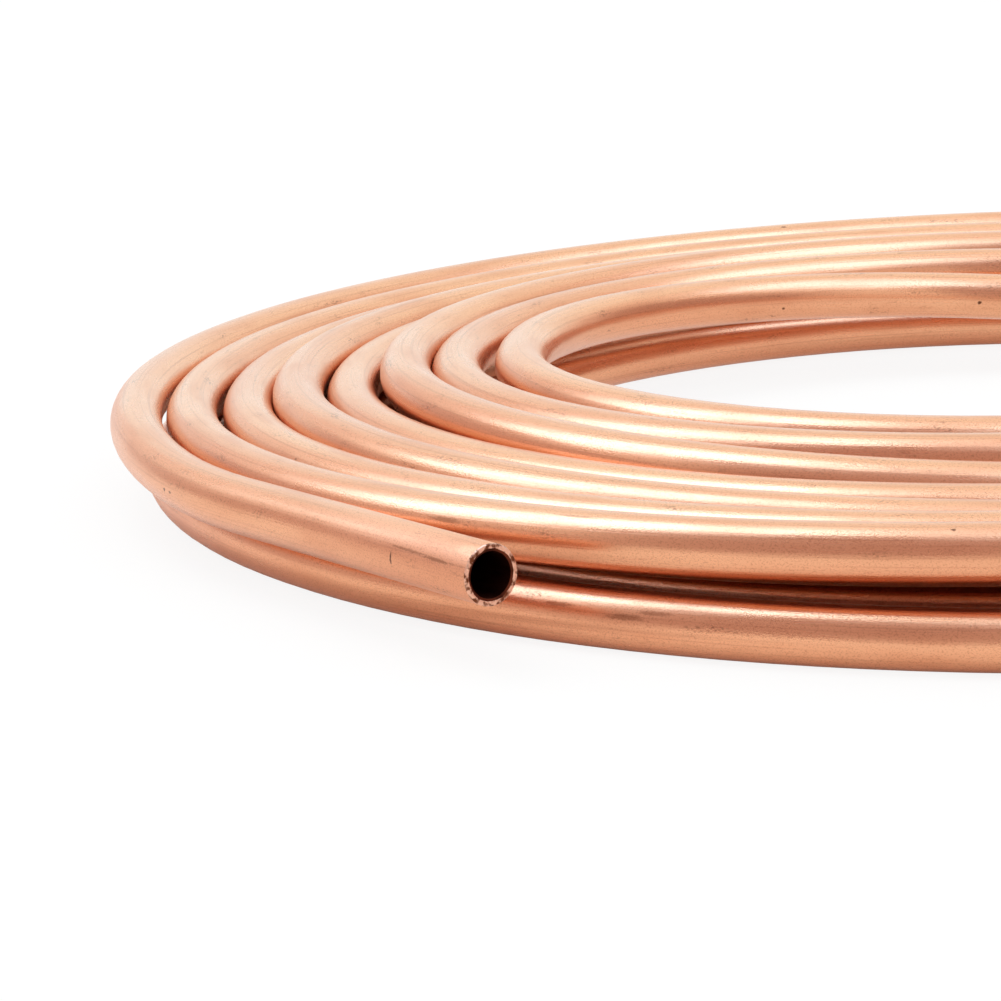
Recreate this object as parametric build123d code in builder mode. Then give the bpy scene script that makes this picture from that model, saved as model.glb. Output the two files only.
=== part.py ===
"""Coil of soft copper tube, quarter inch outside, as it lies on a shelf or a bench.

One length of drawn, annealed tube is wound flat in two layers. From its open cut end the tube goes
round the upper layer from the outside in, drops at the eye and comes back out through the lower layer,
which lies on the floor. The upper turns lie close together and ride up on each other here and there,
the lower ones stand further apart, and the two ends have sprung outward.

The tube is turned half a turn at a time. Every half turn starts and ends on a line across the eye,
where it is square to that line and level, so one half turn runs smoothly into the next while centres,
radii and heights change and the coil winds in or out. Millimetres, +Z up, the origin on the floor under
the middle of the coil's box. Seen from above, the tube goes clockwise from its open end at the front
left.
"""

import os
from math import cos, degrees, pi, radians, sin

from build123d import *

# The tube, a standard size of refrigeration tube
tube_diameter = 6.35
tube_wall = 0.762
stock_length = 7620.0

# The eye, measured from its middle to the innermost upper turn on either side
eye_left = 57.5
eye_right = 48.1

# Gaps between neighbouring turns of the upper layer seen from above, from the eye outward. Where a
# gap is less than nothing, the turn leans on its neighbour from above.
upper_gaps_left = [1.6, 0.05, 0.4, 0.35, -0.15, 0.65, 0.5]
upper_gaps_right = [2.65, 7.95, 1.05, 0.75, 0.8, 0.7, 0.1]

# How far the upper turns stand clear of the lower layer, from the eye outward. The innermost one is
# already on its way down on the right.
upper_lifts_left = [3.5, 2.95, 3.55, 0.75, 1.65, 0.0, 0.0, 0.4]
upper_lifts_right = [-1.85, 3.0, 4.3, 0.0, 1.4, 0.0, 2.65, 3.55]

# The lower layer starts this far outside the innermost upper turn and lies a little further back
lower_start_left = 8.3
lower_start_right = 22.05
lower_gap_left = 0.95
lower_gap_right = 5.45
lower_shift = 5.0

# The two layers only touch on the real coil
layer_clearance = 0.15

# The open end has sprung outward. From the outermost crossing it goes through three bends, the first a
# little wider than the outermost half turn, the second tighter and the third nearly straight. The tilts,
# in degrees, say how far each bend's centre lies above the level of the tube.
free_bend_spreads = [3.05, -15.96, 3050.0]
free_bend_angles = [28.6, 12.13, 0.6]
free_bend_tilts = [-3.05, 11.57, 0.0]

# Both ends are straight for a fitting
free_straight = 16.0
hidden_straight = 12.0

tube_radius = tube_diameter / 2
lower_height = tube_radius
upper_height = lower_height + tube_diameter + layer_clearance
to_back = Vector(0, 1, 0)
to_front = Vector(0, -1, 0)
upward = Vector(0, 0, 1)


def crossings(wall, gaps):
    """Distances of the tube's middle from the eye's middle, from the outside in."""
    places = [wall + tube_radius]
    for gap in gaps:
        places.append(places[-1] + tube_diameter + gap)
    return places[::-1]


def half_turn(start, end, angle=180.0):
    """A bend from one crossing to the next: its start, its heading there, its centre and its angle."""
    heading = to_back if end.X > start.X else to_front
    return start, heading, (start + end) / 2, angle


def end_of(bend):
    """The place and the heading at the end of a bend."""
    start, heading, centre, angle = bend
    inward = centre - start
    turned = radians(angle)
    place = centre - inward * cos(turned) + heading * (inward.length * sin(turned))
    return place, heading * cos(turned) + inward.normalized() * sin(turned)


def length_of(bend):
    """The tube that a bend takes."""
    start, heading, centre, angle = bend
    return (centre - start).length * radians(angle)


# Where the upper layer crosses the line, from its outside in
upper_left = crossings(eye_left, upper_gaps_left)
upper_right = crossings(eye_right, upper_gaps_right)
stations = []
for left, right, left_lift, right_lift in zip(
    upper_left, upper_right, upper_lifts_left[::-1], upper_lifts_right[::-1]
):
    stations.append(Vector(-left, 0, upper_height + left_lift))
    stations.append(Vector(right, 0, upper_height + right_lift))
bends = [half_turn(start, end) for start, end in zip(stations, stations[1:])]

# The drop to the floor is two quarter turns, the second one larger by the lower layer's shift
lower_left = upper_left[-1] + lower_start_left
lower_right = upper_right[-1] + lower_start_right
fall = Vector(-lower_left, 0, lower_height) - stations[-1]
landing_radius = (fall.length + lower_shift) / 2
drop_radius = fall.length - landing_radius
drop_centre = stations[-1] + fall.normalized() * drop_radius
frontmost = drop_centre + to_front * drop_radius
bends.append((stations[-1], to_front, drop_centre, 90.0))
bends.append((frontmost, fall.normalized(), frontmost + to_back * landing_radius, 90.0))

# The free bends, from the outermost crossing towards the open end
outer_radius = (stations[1] - stations[0]).length / 2
free_bends = []
place, heading = stations[0], to_front
for spread, angle, tilt in zip(free_bend_spreads, free_bend_angles, free_bend_tilts):
    side = upward.cross(heading).normalized()
    inward = side * cos(radians(tilt)) + heading.cross(side) * sin(radians(tilt))
    free_bends.append((place, heading, place + inward * (outer_radius + spread), angle))
    place, heading = end_of(free_bends[-1])
open_start, open_heading = place, heading

# What these bends and the two straight ends leave of the stock goes into the lower layer
used = free_straight + hidden_straight + sum(length_of(bend) for bend in free_bends + bends)
place = Vector(-lower_left, lower_shift, lower_height)
turn = 0
while used < stock_length:
    if place.X < 0:
        following = Vector(lower_right + turn * (tube_diameter + lower_gap_right), lower_shift, lower_height)
        turn += 1
    else:
        following = Vector(-lower_left - turn * (tube_diameter + lower_gap_left), lower_shift, lower_height)
    angle = min(180.0, degrees((stock_length - used) / ((following - place).length / 2)))
    bends.append(half_turn(place, following, angle))
    used += length_of(bends[-1])
    place = following
hidden_start, hidden_heading = end_of(bends[-1])

with BuildPart() as coiled_tube:
    # The bends behind the eye run from left to right, those in front of it from right to left
    for start, heading, centre, angle in free_bends + bends:
        with BuildSketch(Plane(origin=start, z_dir=heading)) as section:
            Circle(tube_radius)
            Circle(tube_radius - tube_wall, mode=Mode.SUBTRACT)
        revolve(axis=Axis(centre, heading.cross(centre - start)), revolution_arc=angle)

    # The straight stretches at the open end and at the hidden one
    for start, heading, length in (
        (open_start, open_heading, free_straight),
        (hidden_start, hidden_heading, hidden_straight),
    ):
        with BuildSketch(Plane(origin=start, z_dir=heading)) as section:
            Circle(tube_radius)
            Circle(tube_radius - tube_wall, mode=Mode.SUBTRACT)
        extrude(amount=length)

box = coiled_tube.part.bounding_box()
coil = coiled_tube.part.moved(Location((-box.center().X, -box.center().Y, -box.min.Z)))
coil.label = "coiled_tube"

os.makedirs("parts", exist_ok=True)
export_step(coil, "parts/coiled_tube.step")

print("tube length", round(used, 1), "bends", len(free_bends + bends), "last angle", round(bends[-1][3], 1))
print("box", coil.bounding_box().size, "moved by", -box.center().X, -box.center().Y, -box.min.Z)
print("solids", len(coil.solids()), "faces", len(coil.faces()), "valid", coil.is_valid)
section_area = pi * (tube_radius**2 - (tube_radius - tube_wall) ** 2)
print("volume", round(coil.volume, 1), "section times length", round(section_area * used, 1))
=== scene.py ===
# %% [markdown]
# # A coil of soft copper tube
#
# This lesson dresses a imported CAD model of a 25 foot coil of quarter-inch copper tube, the kind that
# is sold for refrigeration lines. The whole object is one piece of metal, so nearly all of its look
# comes from three things: tubes that run truly round and touch each other softly, a skin that is
# bright but not polished, and a studio whose white and dark parts show in that skin as long bands.

# %% The frame
from math import ceil, cos, degrees, pi, radians, sin, tau
from random import Random

import bpy
import numpy as np
from mathutils import Matrix, Vector


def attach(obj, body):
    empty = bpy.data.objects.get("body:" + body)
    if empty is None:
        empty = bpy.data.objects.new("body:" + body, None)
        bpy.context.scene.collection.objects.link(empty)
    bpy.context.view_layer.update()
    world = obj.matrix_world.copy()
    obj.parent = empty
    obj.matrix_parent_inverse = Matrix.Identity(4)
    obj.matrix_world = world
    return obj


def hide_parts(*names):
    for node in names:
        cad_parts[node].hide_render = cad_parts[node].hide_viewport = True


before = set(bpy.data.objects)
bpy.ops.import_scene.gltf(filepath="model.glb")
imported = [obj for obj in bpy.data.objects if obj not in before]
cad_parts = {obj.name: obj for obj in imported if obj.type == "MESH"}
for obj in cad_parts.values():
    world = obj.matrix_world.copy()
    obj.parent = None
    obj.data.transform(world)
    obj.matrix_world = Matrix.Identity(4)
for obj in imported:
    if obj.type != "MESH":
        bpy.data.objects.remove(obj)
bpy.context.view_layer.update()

# %% [markdown]
# ## Sizes
#
# The tube is a standard size, so its outside and its wall are exact. The places where the turns cross
# the line through the eye are the same ones that the CAD model has, written as gaps between
# neighbours and as heights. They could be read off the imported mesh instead, but its facets would make
# them inexact, and a list of gaps shows at a glance how the turns crowd on the left and open up on
# the right. All sizes are in millimetres, and one small function turns them to Blender's metres.

# %% Sizes of the tube and of the coil
tube_diameter = 6.35
tube_wall = 0.762
stock_length = 7620.0

# From the middle of the eye to the innermost upper turn, then the gaps from turn to turn going outward,
# and how far each turn stands clear of the lower layer. Less than nothing is a turn that leans on its
# neighbour, or that is already on its way down.
eye_left = 57.5
eye_right = 48.1
upper_gaps_left = [1.6, 0.05, 0.4, 0.35, -0.15, 0.65, 0.5]
upper_gaps_right = [2.65, 7.95, 1.05, 0.75, 0.8, 0.7, 0.1]
upper_lifts_left = [3.5, 2.95, 3.55, 0.75, 1.65, 0.0, 0.0, 0.4]
upper_lifts_right = [-1.85, 3.0, 4.3, 0.0, 1.4, 0.0, 2.65, 3.55]

# The lower layer starts this far outside the innermost upper turn, and lies a little further back
lower_start_left = 8.3
lower_start_right = 22.05
lower_gap_left = 0.95
lower_gap_right = 5.45
lower_shift = 5.0
layer_clearance = 0.15

# The open end has sprung outward in three bends: how much wider each is than the outermost half turn,
# how far it turns, and how far its centre is tilted up, in degrees. Both ends are straight for a fitting.
free_bend_spreads = [3.05, -15.96, 3050.0]
free_bend_angles = [28.6, 12.13, 0.6]
free_bend_tilts = [-3.05, 11.57, 0.0]
free_straight = 16.0
hidden_straight = 12.0

# What follows from them
tube_radius = tube_diameter / 2
bore_radius = tube_radius - tube_wall
lower_height = tube_radius
upper_height = lower_height + tube_diameter + layer_clearance
to_back = Vector((0, 1, 0))
to_front = Vector((0, -1, 0))
upward = Vector((0, 0, 1))


def mm(value):
    """Millimetres, a number or a vector of them, in Blender's metres."""
    return value / 1000


print("tube", tube_diameter, "mm outside,", round(2 * bore_radius, 3), "mm inside")

# %% [markdown]
# ## The bends
#
# A coil is easiest to follow as a list of bends. Each one starts at a point, heads in a direction and
# turns about a centre by an angle. Every half turn starts and ends on the line across the eye, square
# to it and level, so the bends run smoothly into each other although their centres, radii and heights
# all differ. A helix would be simpler, but a real coil that has been handled is never that even.

# %% Helpers for bends


def crossings(wall, gaps):
    """Distances of the tube's middle from the eye's middle, from the outside in."""
    places = [wall + tube_radius]
    for gap in gaps:
        places.append(places[-1] + tube_diameter + gap)
    return places[::-1]


def half_turn(start, end, angle=180.0):
    """A bend from one crossing to the next."""
    heading = to_back if end.x > start.x else to_front
    return start, heading, (start + end) / 2, angle


def length_of(bend):
    """How much tube a bend takes."""
    start, heading, centre, angle = bend
    return (centre - start).length * radians(angle)


def end_of(bend):
    """The place and the heading at the end of a bend."""
    start, heading, centre, angle = bend
    inward = centre - start
    turned = radians(angle)
    place = centre - inward * cos(turned) + heading * (inward.length * sin(turned))
    return place, heading * cos(turned) + inward.normalized() * sin(turned)


# %% The upper layer and the open end, from the outside in
upper_left = crossings(eye_left, upper_gaps_left)
upper_right = crossings(eye_right, upper_gaps_right)
stations = []
lifts = zip(upper_lifts_left[::-1], upper_lifts_right[::-1])
for left, right, (left_lift, right_lift) in zip(upper_left, upper_right, lifts):
    stations.append(Vector((-left, 0, upper_height + left_lift)))
    stations.append(Vector((right, 0, upper_height + right_lift)))
bends = [half_turn(start, end) for start, end in zip(stations, stations[1:])]

# The free end is worked out from the outermost crossing on, and then followed the other way round
outer_radius = (stations[1] - stations[0]).length / 2
place, heading = stations[0], to_front
for spread, angle, tilt in zip(free_bend_spreads, free_bend_angles, free_bend_tilts):
    side = upward.cross(heading).normalized()
    inward = side * cos(radians(tilt)) + heading.cross(side) * sin(radians(tilt))
    centre = place + inward * (outer_radius + spread)
    place, heading = end_of((place, heading, centre, angle))
    bends.insert(0, (place, -heading, centre, angle))
free_heading = -heading
open_end = place - free_heading * free_straight
print("crossings", len(stations), "outermost radius", round(outer_radius, 1))

# %% The drop at the eye, and the lower layer out to the hidden end
# The drop is two quarter turns of different radii
lower_left = upper_left[-1] + lower_start_left
lower_right = upper_right[-1] + lower_start_right
fall = Vector((-lower_left, 0, lower_height)) - stations[-1]
landing_radius = (fall.length + lower_shift) / 2
drop_radius = fall.length - landing_radius
drop_centre = stations[-1] + fall.normalized() * drop_radius
frontmost = drop_centre + to_front * drop_radius
bends.append((stations[-1], to_front, drop_centre, 90.0))
bends.append((frontmost, fall.normalized(), frontmost + to_back * landing_radius, 90.0))

# The lower layer takes what is left of the stock
least_bend = 0.001
left_over = stock_length - free_straight - hidden_straight - sum(length_of(bend) for bend in bends)
place = Vector((-lower_left, lower_shift, lower_height))
turn = 0
while left_over > least_bend:
    if place.x < 0:
        across = lower_right + turn * (tube_diameter + lower_gap_right)
        turn += 1
    else:
        across = -lower_left - turn * (tube_diameter + lower_gap_left)
    following = Vector((across, lower_shift, lower_height))
    radius = (following - place).length / 2
    bends.append(half_turn(place, following, min(180.0, degrees(left_over / radius))))
    left_over -= length_of(bends[-1])
    place = following
print("bends", len(bends), "last angle", round(bends[-1][3], 1))

# %% [markdown]
# ## The tube
#
# The real tube is drawn through a die and then wound on a drum. The mesh follows the same idea: two
# rings, the outside and the bore, are drawn round every bend with the spin operator, which leaves the
# last pair of rings selected, ready for the next bend. A curve with a round bevel would be quicker to
# write, but it has no bore and no sawn ends, and its sections twist where the bends change planes.

# %% Helpers for selecting and for turning a flat primitive
round_steps = 28
ring_size = 2 * round_steps
step_length = 5.0


def only(thing):
    """Makes one object the selected and active one."""
    bpy.ops.object.select_all(action="DESELECT")
    thing.select_set(True)
    bpy.context.view_layer.objects.active = thing


def facing(direction):
    """The turn that makes a flat primitive face along a direction."""
    return direction.to_track_quat("Z", "Y").to_euler()


# %% The rings of the open end
# The outer edge of a cut is broken over this length, so the rings start that much inside the cut
edge_break = 0.16
bpy.ops.object.select_all(action="DESELECT")
ring_place = open_end + free_heading * edge_break
rings = []
for ring_radius in (tube_radius, bore_radius):
    bpy.ops.mesh.primitive_circle_add(
        vertices=round_steps,
        radius=mm(ring_radius),
        location=mm(ring_place),
        rotation=facing(free_heading),
    )
    rings.append(bpy.context.active_object)
only(rings[0])
rings[1].select_set(True)
bpy.ops.object.join()
stretch = bpy.context.active_object
bpy.ops.object.transform_apply(location=True, rotation=True, scale=True)
print("rings of", round_steps, "steps at", [round(v, 2) for v in open_end])

# %% Drawing the rings through the straight ends and the bends


def draw_straight(heading, length, steps):
    """Draws the selected rings straight on."""
    step = heading * mm(length / steps)
    for _ in range(steps):
        bpy.ops.mesh.extrude_edges_move(TRANSFORM_OT_translate={"value": step, "orient_type": "GLOBAL"})


def draw_bend(bend):
    """Draws the selected rings round a bend. The spin operator turns the other way round its axis."""
    start, heading, centre, angle = bend
    axis = (centre - start).cross(heading).normalized()
    steps = ceil(length_of(bend) / step_length)
    bpy.ops.mesh.spin(steps=steps, dupli=False, angle=radians(angle), center=mm(centre), axis=axis)


def next_stretch():
    """Copies the last rings to an object of their own, where the tube goes on."""
    bpy.ops.mesh.duplicate()
    bpy.ops.mesh.separate(type="SELECTED")
    following = [thing for thing in bpy.context.selected_objects if thing != stretch][0]
    bpy.ops.object.mode_set(mode="OBJECT")
    only(following)
    return following


last_place, last_heading = end_of(bends[-1])
hidden_end = last_place + last_heading * hidden_straight
first_run = (free_heading, free_straight - edge_break)
last_run = (last_heading, hidden_straight - edge_break)
runs = [first_run, *bends, last_run]
stretches = []
lengths = []
for run in runs:
    bpy.ops.object.mode_set(mode="EDIT")
    bpy.ops.mesh.select_all(action="SELECT")
    if len(run) == 2:
        draw_straight(*run, ceil(run[1] / step_length))
        lengths.append(run[1])
    else:
        draw_bend(run)
        lengths.append(length_of(run))
    stretches.append(stretch)
    stretch = next_stretch()
bpy.data.objects.remove(stretch)
print("stretches", len(stretches), "vertices", sum(len(s.data.vertices) for s in stretches))

# %% [markdown]
# ## A tube that knows where it is
#
# Copper tube carries its marks along its length: the lines that the die drew, the tint of the
# annealing oven, the smears of the drum. A pattern in the object's own space would cut straight
# through the turns instead. So each vertex is told where it would be if the tube were straightened
# out, and the patterns are made there. A UV map would do it too, but it has a seam along the tube.

# %% Noting the straightened place of each vertex
ring_angles = np.tile(np.arange(round_steps) * tau / round_steps, 2)
ring_radii = np.repeat([tube_radius, bore_radius], round_steps)
drawn_so_far = 0.0
for stretch, length in zip(stretches, lengths):
    ring_count = len(stretch.data.vertices) // ring_size
    along = drawn_so_far + np.linspace(0, length, ring_count)
    places = np.empty((ring_count, ring_size, 3))
    places[:, :, 0] = ring_radii * np.cos(ring_angles)
    places[:, :, 1] = ring_radii * np.sin(ring_angles)
    places[:, :, 2] = along[:, None]
    attribute = stretch.data.attributes.new("straightened", "FLOAT_VECTOR", "POINT")
    attribute.data.foreach_set("vector", mm(places).ravel())
    drawn_so_far += length
print("tube length", round(drawn_so_far, 1), "mm")

# %% One tube of all the stretches
only(stretches[0])
for stretch in stretches[1:]:
    stretch.select_set(True)
bpy.ops.object.join()
tube = bpy.context.active_object
tube.name = "copper_tube"
tube.data.name = "copper_tube"
merge_reach = 0.01
bpy.ops.object.mode_set(mode="EDIT")
bpy.ops.mesh.select_all(action="SELECT")
bpy.ops.mesh.remove_doubles(threshold=mm(merge_reach))
bpy.ops.object.mode_set(mode="OBJECT")
print("vertices", len(tube.data.vertices))

# %% [markdown]
# ## The sawn ends
#
# The tube was cut with a fine saw and then scraped round inside with a reamer. The wall shows as a
# narrow, rough ring with its outer edge slightly broken and a dark bevel into the bore. At each end
# the outer ring is drawn inward over the wall, row by row, and the last row is merged with the ring of
# the bore. Bridging the two rings looks simpler, but on two rings in one plane the operator may join
# each vertex to the one across the bore. The rows are then moved a little by seeded random draws, as
# the teeth of a saw leave them.

# %% The rows of the wall
# How unevenly the teeth leave the metal, how much of the wall the broken edge and the bevel take, and
# the radius of the row between them
chatter = 0.05
broken_width = 0.1
bevel_width = 0.26
middle_row = 2.85

# Each row: its radius, and how far it stands out past the plane of the cut
wall_rows = [
    (tube_radius - broken_width, 0.0),
    (middle_row, 0.0),
    (bore_radius + bevel_width, 0.0),
    (bore_radius, -edge_break),
]
print("rows at radii", [round(row[0], 2) for row in wall_rows])

# %% Closing and shaping the ends
end_reach = 4.2
draw = Random(25)


def at_end(place, out, low, high, reach):
    """The tube's vertices in a range of radii, within a reach of the plane of an end."""
    found = []
    for v in tube.data.vertices:
        offset = v.co * 1000 - place
        if offset.length < end_reach and abs(offset @ out) < reach and low < offset.length < high:
            found.append(v)
    return found


for place, out in ((open_end, -free_heading), (hidden_end, last_heading)):
    bpy.ops.object.mode_set(mode="EDIT")
    bpy.ops.mesh.select_mode(type="VERT")
    bpy.ops.mesh.select_all(action="DESELECT")
    bpy.ops.object.mode_set(mode="OBJECT")
    for v in at_end(place, out, tube_radius - broken_width, end_reach, 2 * edge_break):
        v.select = True
    bpy.ops.object.mode_set(mode="EDIT")
    row_radius, row_height = tube_radius, -edge_break
    for next_radius, next_height in wall_rows:
        step = out * mm(next_height - row_height)
        bpy.ops.mesh.extrude_edges_move(TRANSFORM_OT_translate={"value": step, "orient_type": "GLOBAL"})
        scale = next_radius / row_radius
        row_middle = mm(place + out * next_height)
        bpy.ops.transform.resize(value=(scale, scale, scale), center_override=row_middle)
        row_radius, row_height = next_radius, next_height
    bpy.ops.mesh.select_all(action="SELECT")
    bpy.ops.mesh.remove_doubles(threshold=mm(merge_reach))
    bpy.ops.object.mode_set(mode="OBJECT")
    rim = at_end(place, out, 0, end_reach, edge_break / 2)
    for v in rim:
        offset = v.co * 1000 - place
        radial = (offset - out * (offset @ out)).normalized()
        v.co += mm(radial * draw.uniform(-chatter, chatter) + out * draw.uniform(-2 * chatter, 0))
    # The new rows still carry the straightened place of the ring that they were drawn from
    notes = tube.data.attributes["straightened"].data
    for v in at_end(place, out, 0, end_reach, 2 * edge_break):
        note = notes[v.index].vector
        shrink = mm((v.co * 1000 - place).length) / (note.x**2 + note.y**2) ** 0.5
        notes[v.index].vector = (note.x * shrink, note.y * shrink, note.z)
    print("rim of", len(rim), "vertices at", [round(c, 1) for c in place])

# %% [markdown]
# ## The coil in its place
#
# So far the line across the eye has run through the world's middle. The real coil has no such line: it
# is held and stored by its outline, so its origin belongs on the floor under the middle of its box.
# Typing in the CAD model's own shift would do it, but measuring the finished tube keeps the two
# together when a size changes. The normals are recalculated once, now that the tube is closed.

# %% Setting the coil on its own middle, where the CAD model has it
smooth_below = radians(40)
bpy.ops.object.mode_set(mode="EDIT")
bpy.ops.mesh.select_all(action="SELECT")
bpy.ops.mesh.normals_make_consistent(inside=False)
bpy.ops.object.mode_set(mode="OBJECT")
xs = [v.co.x for v in tube.data.vertices]
ys = [v.co.y for v in tube.data.vertices]
to_middle = Vector((-(min(xs) + max(xs)) / 2, -(min(ys) + max(ys)) / 2, 0))
tube.location = to_middle
only(tube)
bpy.ops.object.transform_apply(location=True, rotation=True, scale=True)
bpy.ops.object.shade_smooth_by_angle(angle=smooth_below)
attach(tube, "root")
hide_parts("coiled_tube")
triangles = sum(len(face.vertices) - 2 for face in tube.data.polygons)
print("moved by", [round(v * 1000, 2) for v in to_middle], "triangles", triangles)

# %% [markdown]
# ## Colours and patterns
#
# Every finish below starts from a colour written as on a paint card and from patterns whose sizes are
# given in millimetres. A pattern is noise on the straightened place, stretched along the tube, because
# what drawing and winding leave on a tube is nearly always longer than it is wide. The node editor
# would build the same trees by hand. Written out, each node stands beside the reason for it.

# %% Helpers for materials


def colour(card):
    """An sRGB hex colour as the linear colour that shaders take."""
    parts = [int(card[i : i + 2], 16) / 255 for i in (1, 3, 5)]
    return (*[c / 12.92 if c <= 0.04045 else ((c + 0.055) / 1.055) ** 2.4 for c in parts], 1.0)


def add(tree, kind, settings=None, inputs=None, output=0):
    """Adds a node, with its settings, values and links, and gives back one of its outputs."""
    made = tree.nodes.new(kind)
    for name, value in (settings or {}).items():
        setattr(made, name, value)
    for name, value in (inputs or {}).items():
        if isinstance(value, bpy.types.NodeSocket):
            tree.links.new(value, made.inputs[name])
        else:
            made.inputs[name].default_value = value
    return made.outputs[output] if made.outputs else made


def new_material(name):
    """An empty node material."""
    material = bpy.data.materials.new(name)
    material.use_nodes = True
    material.node_tree.nodes.clear()
    return material, material.node_tree


# %% [markdown]
# ## Annealed copper
#
# The tube is phosphorus-deoxidised copper, drawn and then annealed bright in a controlled oven. That
# leaves a satin skin: a pink-orange metal with a roughness of about a quarter. Its grain sparkles where
# a dark part of the room shows in it. Over that lie faint lines along the draw, a tint that comes and
# goes with the oven, and a few specks and smears. A photograph of copper mapped on would be quicker,
# but it would repeat, and it would carry another room's light.

# %% The patterns of the skin
copper, tree = new_material("annealed_copper")
place = add(tree, "ShaderNodeAttribute", {"attribute_name": "straightened"}, output="Vector")

# Each pattern's size across and along the tube in millimetres, and its detail. The real grain is
# about 0.1 mm. It is drawn a little coarser so that it shows.
pattern_sizes = {
    "oven_tint": (7.0, 60.0, 2.0),
    "blush": (2.5, 14.0, 2.0),
    "die_lines": (0.28, 40.0, 2.0),
    "grain": (0.15, 0.2, 2.0),
    "grime": (1.6, 6.0, 3.0),
    "specks": (0.22, 0.45, 1.0),
}
patterns = {}
for name, (across, along, detail) in pattern_sizes.items():
    size = (1000 / across, 1000 / across, 1000 / along)
    scaled = add(tree, "ShaderNodeVectorMath", {"operation": "MULTIPLY"}, {0: place, 1: size})
    look = {"Vector": scaled, "Scale": 1.0, "Detail": detail}
    patterns[name] = add(tree, "ShaderNodeTexNoise", {}, look)
print("patterns", list(patterns))

# %% The layers of colour in the skin
blend = {"data_type": "RGBA"}

# Each layer: the pattern, the part of its range that fades in, how strong it gets and its colour
skin = colour("#F0AF86")
for name, low, high, most, card in (
    ("oven_tint", 0.35, 0.65, 1.0, "#EAA57E"),
    ("blush", 0.5, 0.75, 0.35, "#D98F68"),
    ("die_lines", 0.52, 0.75, 0.35, "#B8795A"),
    ("grain", 0.48, 0.7, 0.35, "#A4603D"),
):
    share = add(
        tree,
        "ShaderNodeMapRange",
        {"interpolation_type": "SMOOTHSTEP"},
        {0: patterns[name], 1: low, 2: high, 4: most},
    )
    skin = add(tree, "ShaderNodeMix", blend, {0: share, 6: skin, 7: colour(card)}, output=2)

# Fine dark specks gather where the grime pattern is thick
thick = add(tree, "ShaderNodeMapRange", {}, {0: patterns["grime"], 1: 0.6, 2: 0.8})
speck = add(tree, "ShaderNodeMapRange", {}, {0: patterns["specks"], 1: 0.5, 2: 0.62, 4: 0.7})
share = add(tree, "ShaderNodeMath", {"operation": "MULTIPLY"}, {0: thick, 1: speck})
speck_brown = "#5E2E1C"
skin = add(tree, "ShaderNodeMix", blend, {0: share, 6: skin, 7: colour(speck_brown)}, output=2)
print("nodes so far", len(tree.nodes))

# %% The marks that only this coil has
# Spots, a scratch across the open end and smears along the turns. Each has its place in millimetres,
# the way it runs in degrees from X round to Y, its length and its width, how dark it is and its
# colour. A few of the specks' own ups and downs keep its outline from being a clean oval.
spot = "#4A2416"
smear = "#8A5234"
scratch = "#3A1C12"
on_coil = add(tree, "ShaderNodeTexCoord", output="Object")
for *middle, way, length, width, dark, card in (
    (-106.56, -68.27, 9.18, -58, 0.5, 0.4, 0.9, spot),
    (-105.62, -69.75, 9.14, -57, 0.7, 0.35, 0.7, spot),
    (-92.05, -64.46, 11.68, 124, 0.6, 0.4, 0.6, smear),
    (-14.69, 44.91, 10.0, -2, 0.6, 0.5, 0.9, spot),
    (-41.67, 38.78, 10.72, 28, 0.5, 0.45, 0.8, spot),
    (-18.31, -114.65, 14.08, 174, 0.5, 0.4, 0.8, spot),
    (-44.1, 94.92, 14.13, 18, 0.8, 0.6, 0.7, smear),
    (-74.83, -106.79, 9.97, -49, 0.3, 1.5, 0.85, scratch),
    (-72.6, -108.9, 11.3, -49, 7.0, 0.3, 0.5, smear),
    (-69.4, -112.7, 11.2, -49, 5.0, 0.4, 0.55, smear),
    (-50.95, -109.19, 4.21, 156, 4.5, 0.7, 0.5, smear),
    (-47.84, -110.18, 4.84, 158, 4.0, 0.5, 0.45, smear),
    (-58.16, -105.43, 4.78, 152, 4.0, 0.5, 0.55, smear),
    (-56.2, -103.68, 13.44, 153, 5.0, 0.35, 0.45, smear),
    (-70.51, -96.7, 11.68, 145, 4.0, 0.6, 0.5, smear),
):
    size = (mm(length) / 2, mm(width) / 2, mm(width) / 2)
    way_round = (0, 0, radians(way))
    seat = {"Vector": on_coil, "Location": [mm(c) for c in middle], "Rotation": way_round, "Scale": size}
    seat = add(tree, "ShaderNodeMapping", {"vector_type": "TEXTURE"}, seat)
    reach = add(tree, "ShaderNodeVectorMath", {"operation": "LENGTH"}, {0: seat}, output="Value")
    uneven = {0: patterns["specks"], 1: 1.2, 2: reach}
    reach = add(tree, "ShaderNodeMath", {"operation": "MULTIPLY_ADD"}, uneven)
    share = add(tree, "ShaderNodeMapRange", {}, {0: reach, 1: 1.2, 2: 1.8, 3: dark, 4: 0.0})
    skin = add(tree, "ShaderNodeMix", blend, {0: share, 6: skin, 7: colour(card)}, output=2)
print("nodes so far", len(tree.nodes))

# %% The gloss and the relief of the skin
satin, dull, handled_dull = 0.24, 0.32, 0.5
dullness = add(tree, "ShaderNodeMapRange", {}, {0: patterns["blush"], 1: 0.3, 2: 0.7, 3: satin, 4: dull})

# The vice and the hands have dulled the open end, less and less over the first 34 mm
along = add(tree, "ShaderNodeSeparateXYZ", {}, {"Vector": place}, output="Z")
handled = {0: along, 1: mm(6), 2: mm(34), 3: handled_dull, 4: satin}
handled = add(tree, "ShaderNodeMapRange", {}, handled)
dullness = add(tree, "ShaderNodeMath", {"operation": "MAXIMUM"}, {0: dullness, 1: handled})

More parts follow.
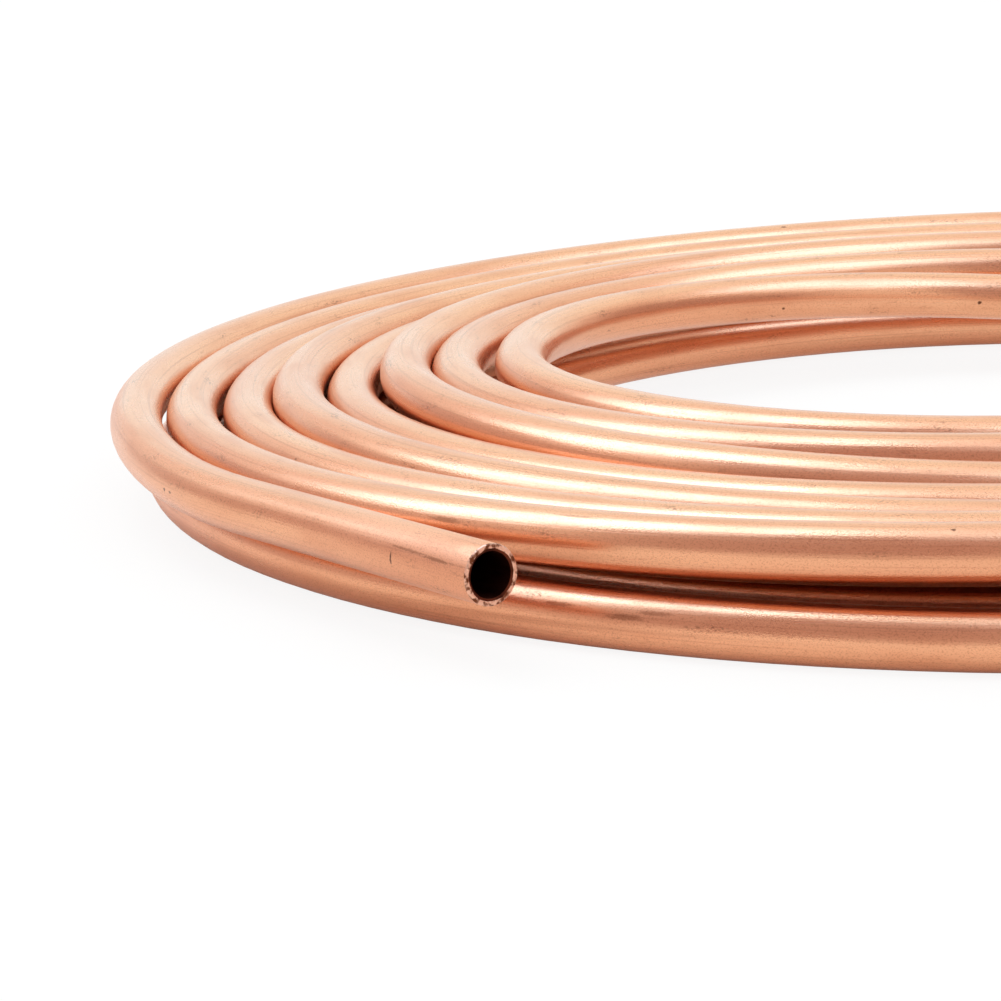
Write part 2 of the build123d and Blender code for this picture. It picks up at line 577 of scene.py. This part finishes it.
relief = None
for name, depth in (("grain", 0.018), ("die_lines", 0.012)):
    raised = {"Strength": 1.0, "Distance": mm(depth), "Height": patterns[name]}
    if relief is not None:
        raised["Normal"] = relief
    relief = add(tree, "ShaderNodeBump", {}, raised)
metal = add(
    tree,
    "ShaderNodeBsdfPrincipled",
    {},
    {"Base Color": skin, "Metallic": 1.0, "Roughness": dullness, "Normal": relief},
)
add(tree, "ShaderNodeOutputMaterial", {}, {"Surface": metal})
tube.data.materials.append(copper)
print("nodes", len(tree.nodes))

# %% [markdown]
# ## The bore
#
# Little of the bore is seen, but a tube reads as a tube by the dark in its end. Its dull browns are
# painted shade for that dark inside the end. Plain black would be simpler and would look like paint: a
# dark, rough metal with a soft mottled pattern still catches a little light just inside the cut.

# %% The finish of the bore
bore, tree = new_material("bore_of_the_tube")
place = add(tree, "ShaderNodeAttribute", {"attribute_name": "straightened"}, output="Vector")
mottle_across, mottle_along = 1.5, 9.0
size = (1000 / mottle_across, 1000 / mottle_across, 1000 / mottle_along)
scaled = add(tree, "ShaderNodeVectorMath", {"operation": "MULTIPLY"}, {0: place, 1: size})
mottle = add(tree, "ShaderNodeTexNoise", {}, {"Vector": scaled, "Scale": 1.0})
share = add(tree, "ShaderNodeMapRange", {}, {0: mottle, 1: 0.35, 2: 0.65})
# The two browns are painted shade, the dark that the deep bore holds
painted_shade_browns = {0: share, 6: colour("#6A3220"), 7: colour("#3E1A10")}
painted_bore_shade = add(tree, "ShaderNodeMix", blend, painted_shade_browns, output=2)
finish = {"Base Color": painted_bore_shade, "Metallic": 1.0, "Roughness": 0.5}
metal = add(tree, "ShaderNodeBsdfPrincipled", {}, finish)
add(tree, "ShaderNodeOutputMaterial", {}, {"Surface": metal})
tube.data.materials.append(bore)
print("nodes", len(tree.nodes))

# %% [markdown]
# ## The sawn wall
#
# A saw tears soft copper and smears it. The fresh metal is brighter and pinker than the skin, and the
# burnt smears beside it are brown, so the rim of a cut tube always looks patchy. Modelling each tooth
# mark would take thousands of faces on a ring less than a millimetre wide. Two noise patterns do it:
# a coarse one for the smears and a fine one, as relief, for the teeth.

# %% The finish of the sawn wall
sawn, tree = new_material("sawn_copper")
place = add(tree, "ShaderNodeAttribute", {"attribute_name": "straightened"}, output="Vector")
teeth_size, smear_size, tooth_depth = 0.25, 0.85, 0.1
torn_patterns = []
for size in (teeth_size, smear_size):
    scaled = {0: place, 1: (1000 / size,) * 3}
    scaled = add(tree, "ShaderNodeVectorMath", {"operation": "MULTIPLY"}, scaled)
    torn_patterns.append(add(tree, "ShaderNodeTexNoise", {}, {"Vector": scaled, "Scale": 1.0}))
teeth, smears = torn_patterns
fade = {"interpolation_type": "SMOOTHSTEP"}
share = add(tree, "ShaderNodeMapRange", fade, {0: smears, 1: 0.46, 2: 0.62})
metals = {0: share, 6: colour("#EFB89C"), 7: colour("#74402A")}
torn = add(tree, "ShaderNodeMix", blend, metals, output=2)
relief = add(tree, "ShaderNodeBump", {}, {"Strength": 1.0, "Distance": mm(tooth_depth), "Height": teeth})
metal = add(
    tree,
    "ShaderNodeBsdfPrincipled",
    {},
    {"Base Color": torn, "Metallic": 1.0, "Roughness": 0.4, "Normal": relief},
)
add(tree, "ShaderNodeOutputMaterial", {}, {"Surface": metal})
tube.data.materials.append(sawn)
print("nodes", len(tree.nodes))

# %% [markdown]
# ## Which face gets which finish
#
# The skin ends at the outer edge of the cut and the bore begins at the reamer's bevel. The faces could
# be picked by hand, but there are a few hundred at each end. The straightened place already says how
# far each vertex is from the tube's middle line, so that distance decides.

# %% Giving each face its finish
noted = np.empty(3 * len(tube.data.vertices))
tube.data.attributes["straightened"].data.foreach_get("vector", noted)
from_axis = np.hypot(noted[0::3], noted[1::3]) * 1000
counts = [0, 0, 0]
for face in tube.data.polygons:
    radii = from_axis[list(face.vertices)]
    if radii.min() > tube_radius - broken_width / 2:
        face.material_index = 0
    elif radii.max() < bore_radius + bevel_width + 2 * chatter:
        face.material_index = 1
    else:
        face.material_index = 2
    counts[face.material_index] += 1
print("faces outside, in the bore, sawn", counts)

# %% [markdown]
# ## The camera
#
# The camera stands low in front of the coil, a hand's width above the floor, and looks over its left
# half through a long lens. It could be aimed by eye until the picture looks right. Here its place, turn
# and lens were worked out from the widths and the bends of the turns, and the shift frames the picture.

# %% The camera
image_side = 1001
sensor_width = 36.0
focal_pixels = 3620.2
camera_place = Vector((-17.45, -459.1, 92.92))
yaw = radians(8.014)
pitch = radians(12.249)
roll = radians(-2.465)
shift_pixels = (36.25, 1.92)
camera_data = bpy.data.cameras.new("camera")
camera = bpy.data.objects.new("camera", camera_data)
bpy.context.scene.collection.objects.link(camera)
camera_data.sensor_width = sensor_width
camera_data.lens = focal_pixels / image_side * sensor_width
camera_data.shift_x = shift_pixels[0] / image_side
camera_data.shift_y = shift_pixels[1] / image_side
camera_data.clip_start = 0.01
camera.location = mm(camera_place)
turned = Matrix.Rotation(yaw, 4, "Z") @ Matrix.Rotation(pi / 2 - pitch, 4, "X")
camera.rotation_euler = (turned @ Matrix.Rotation(roll, 4, "Z")).to_euler()
bpy.context.scene.camera = camera
print("lens", round(camera_data.lens, 1), "mm")

# %% [markdown]
# ## The studio
#
# Metal shows the room more than itself. The coil lies on white, with white all round. The whole room
# could be built, but only what the turns mirror matters, so a few plain panels stand in for it. A tall
# bright card hangs over the coil to the left and a wider one to the right, and they give the turns
# their two cream lines. Between them, in front, is the dark of the room, which gives each turn its
# brown band. The panels show in the metal only. One lamp at a plain level lights the floor.

# %% The room
world = bpy.data.worlds.new("room")
bpy.context.scene.world = world
world.use_nodes = True
tree = world.node_tree
tree.nodes.clear()
path = add(tree, "ShaderNodeLightPath").node.outputs
either = {"operation": "MAXIMUM"}
shown = add(tree, "ShaderNodeMath", either, {0: path["Is Camera Ray"], 1: path["Is Glossy Ray"]})
shown = add(tree, "ShaderNodeMath", either, {0: shown, 1: path["Is Transmission Ray"]})
room_light = 0.95
strength = add(tree, "ShaderNodeMapRange", {}, {0: shown, 3: room_light, 4: 1.0})
light = add(tree, "ShaderNodeBackground", {}, {"Color": colour("#FFFFFF"), "Strength": strength})
add(tree, "ShaderNodeOutputWorld", {}, {"Surface": light})
print("room light", room_light)

# %% The floor
floor_side = 6.0
bpy.ops.object.select_all(action="DESELECT")
bpy.ops.mesh.primitive_plane_add(size=floor_side, location=(0, 0, 0))
floor = bpy.context.active_object
floor.name = "floor"
white, tree = new_material("white_floor")
path = add(tree, "ShaderNodeLightPath").node.outputs
paper = add(tree, "ShaderNodeBsdfDiffuse", {}, {"Color": colour("#F6F6F6")})
glow = add(tree, "ShaderNodeEmission", {}, {"Color": colour("#FFFFFF"), "Strength": 1.0})

# Seen straight on, the paper is nearly burnt out. In the metal it shows painted light: a glow in the eye
# and away from the coil, and none where the coil stands on it, as a painted contact shadow.
glow_seen, painted_light_in_eye, painted_light_away = 0.88, 0.85, 0.6
eye_middle = (mm(-11.9), mm(-7.95), 0)
spot_on_floor = add(tree, "ShaderNodeTexCoord", output="Object")
from_eye = {0: spot_on_floor, 1: eye_middle}
from_eye = add(tree, "ShaderNodeVectorMath", {"operation": "DISTANCE"}, from_eye, output="Value")
# A painted pool of light in the eye and one away from the coil, with a painted contact shadow between
inside = add(tree, "ShaderNodeMapRange", {}, {0: from_eye, 1: mm(67), 2: mm(78), 3: painted_light_in_eye, 4: 0.0})
outside = add(tree, "ShaderNodeMapRange", {}, {0: from_eye, 1: mm(104), 2: mm(132), 4: painted_light_away})
mirrored_painted_light = add(tree, "ShaderNodeMath", {"operation": "ADD"}, {0: inside, 1: outside})
times = {"operation": "MULTIPLY"}
mirrored_painted_light = add(tree, "ShaderNodeMath", times, {0: mirrored_painted_light, 1: path["Is Glossy Ray"]})
seen = add(tree, "ShaderNodeMath", times, {0: path["Is Camera Ray"], 1: glow_seen})
share = add(tree, "ShaderNodeMath", either, {0: seen, 1: mirrored_painted_light})
look = add(tree, "ShaderNodeMixShader", {}, {0: share, 1: paper, 2: glow})
add(tree, "ShaderNodeOutputMaterial", {}, {"Surface": look})
floor.data.materials.append(white)
print("floor", floor_side, "m")

# %% The lamp
lamp_place = Vector((-0.6, 0.15, 1.0))
lamp_data = bpy.data.lights.new("soft_lamp", "AREA")
lamp_data.shape = "RECTANGLE"
lamp_data.size = 0.9
lamp_data.size_y = 0.9
lamp_data.energy = 5.0
lamp = bpy.data.objects.new("soft_lamp", lamp_data)
bpy.context.scene.collection.objects.link(lamp)
lamp.location = lamp_place
lamp.rotation_euler = lamp_place.to_track_quat("Z", "Y").to_euler()
lamp.visible_camera = False
lamp.visible_glossy = False
print("lamp", lamp_data.energy, "W")

# %% The panels that the metal mirrors
# Each one's name, the way to it from the front round to the right and up, in degrees, its distance,
# width and height in metres, its colour and how bright it is beside the white room
for name, around, above, away, width, height, card, bright in (
    ("left_card", -97, 53, 1.0, 0.52, 0.82, "#B8DCFF", 5.6),
    ("right_card", 66, 66, 1.0, 0.9, 0.66, "#B8DCFF", 4.0),
    ("top_card", 0, 90, 1.5, 1.0, 1.0, "#E6F2FF", 1.5),
    ("back_card", 180, 36, 1.4, 1.76, 2.0, "#E9FBFF", 1.35),
    ("front_shade", -26, 36.5, 1.2, 1.37, 1.71, "#FFE2E2", 0.56),
    ("right_shade", 85, 17, 1.2, 2.0, 0.66, "#FFE0DC", 0.55),
    ("left_shade", -93, 11.5, 1.2, 1.76, 0.42, "#FFEAEA", 0.7),
):
    bpy.ops.object.select_all(action="DESELECT")
    bpy.ops.mesh.primitive_plane_add(size=1)
    panel = bpy.context.active_object
    panel.name = name
    panel.scale = (width, height, 1)
    turned, raised = radians(around), radians(above)
    way = Vector((sin(turned) * cos(raised), -cos(turned) * cos(raised), sin(raised)))
    panel.location = way * away
    panel.rotation_euler = way.to_track_quat("Z", "Y").to_euler()
    bpy.ops.object.transform_apply(location=True, rotation=True, scale=True)
    sheet, tree = new_material(name + "_sheet")
    glow = add(tree, "ShaderNodeEmission", {}, {"Color": colour(card), "Strength": bright})
    add(tree, "ShaderNodeOutputMaterial", {}, {"Surface": glow})
    panel.data.materials.append(sheet)
    panel.visible_camera = False
    panel.visible_diffuse = False
    panel.visible_shadow = False
    print(name, [round(c, 2) for c in way * away])

# %% [markdown]
# ## The view transform
#
# The dressed tube has to stay inside the CAD model's box, or it would no longer be the part that was
# designed. The plain view transform shows each colour about as it was written.

# %% The view settings
bpy.context.scene.view_settings.view_transform = "Standard"
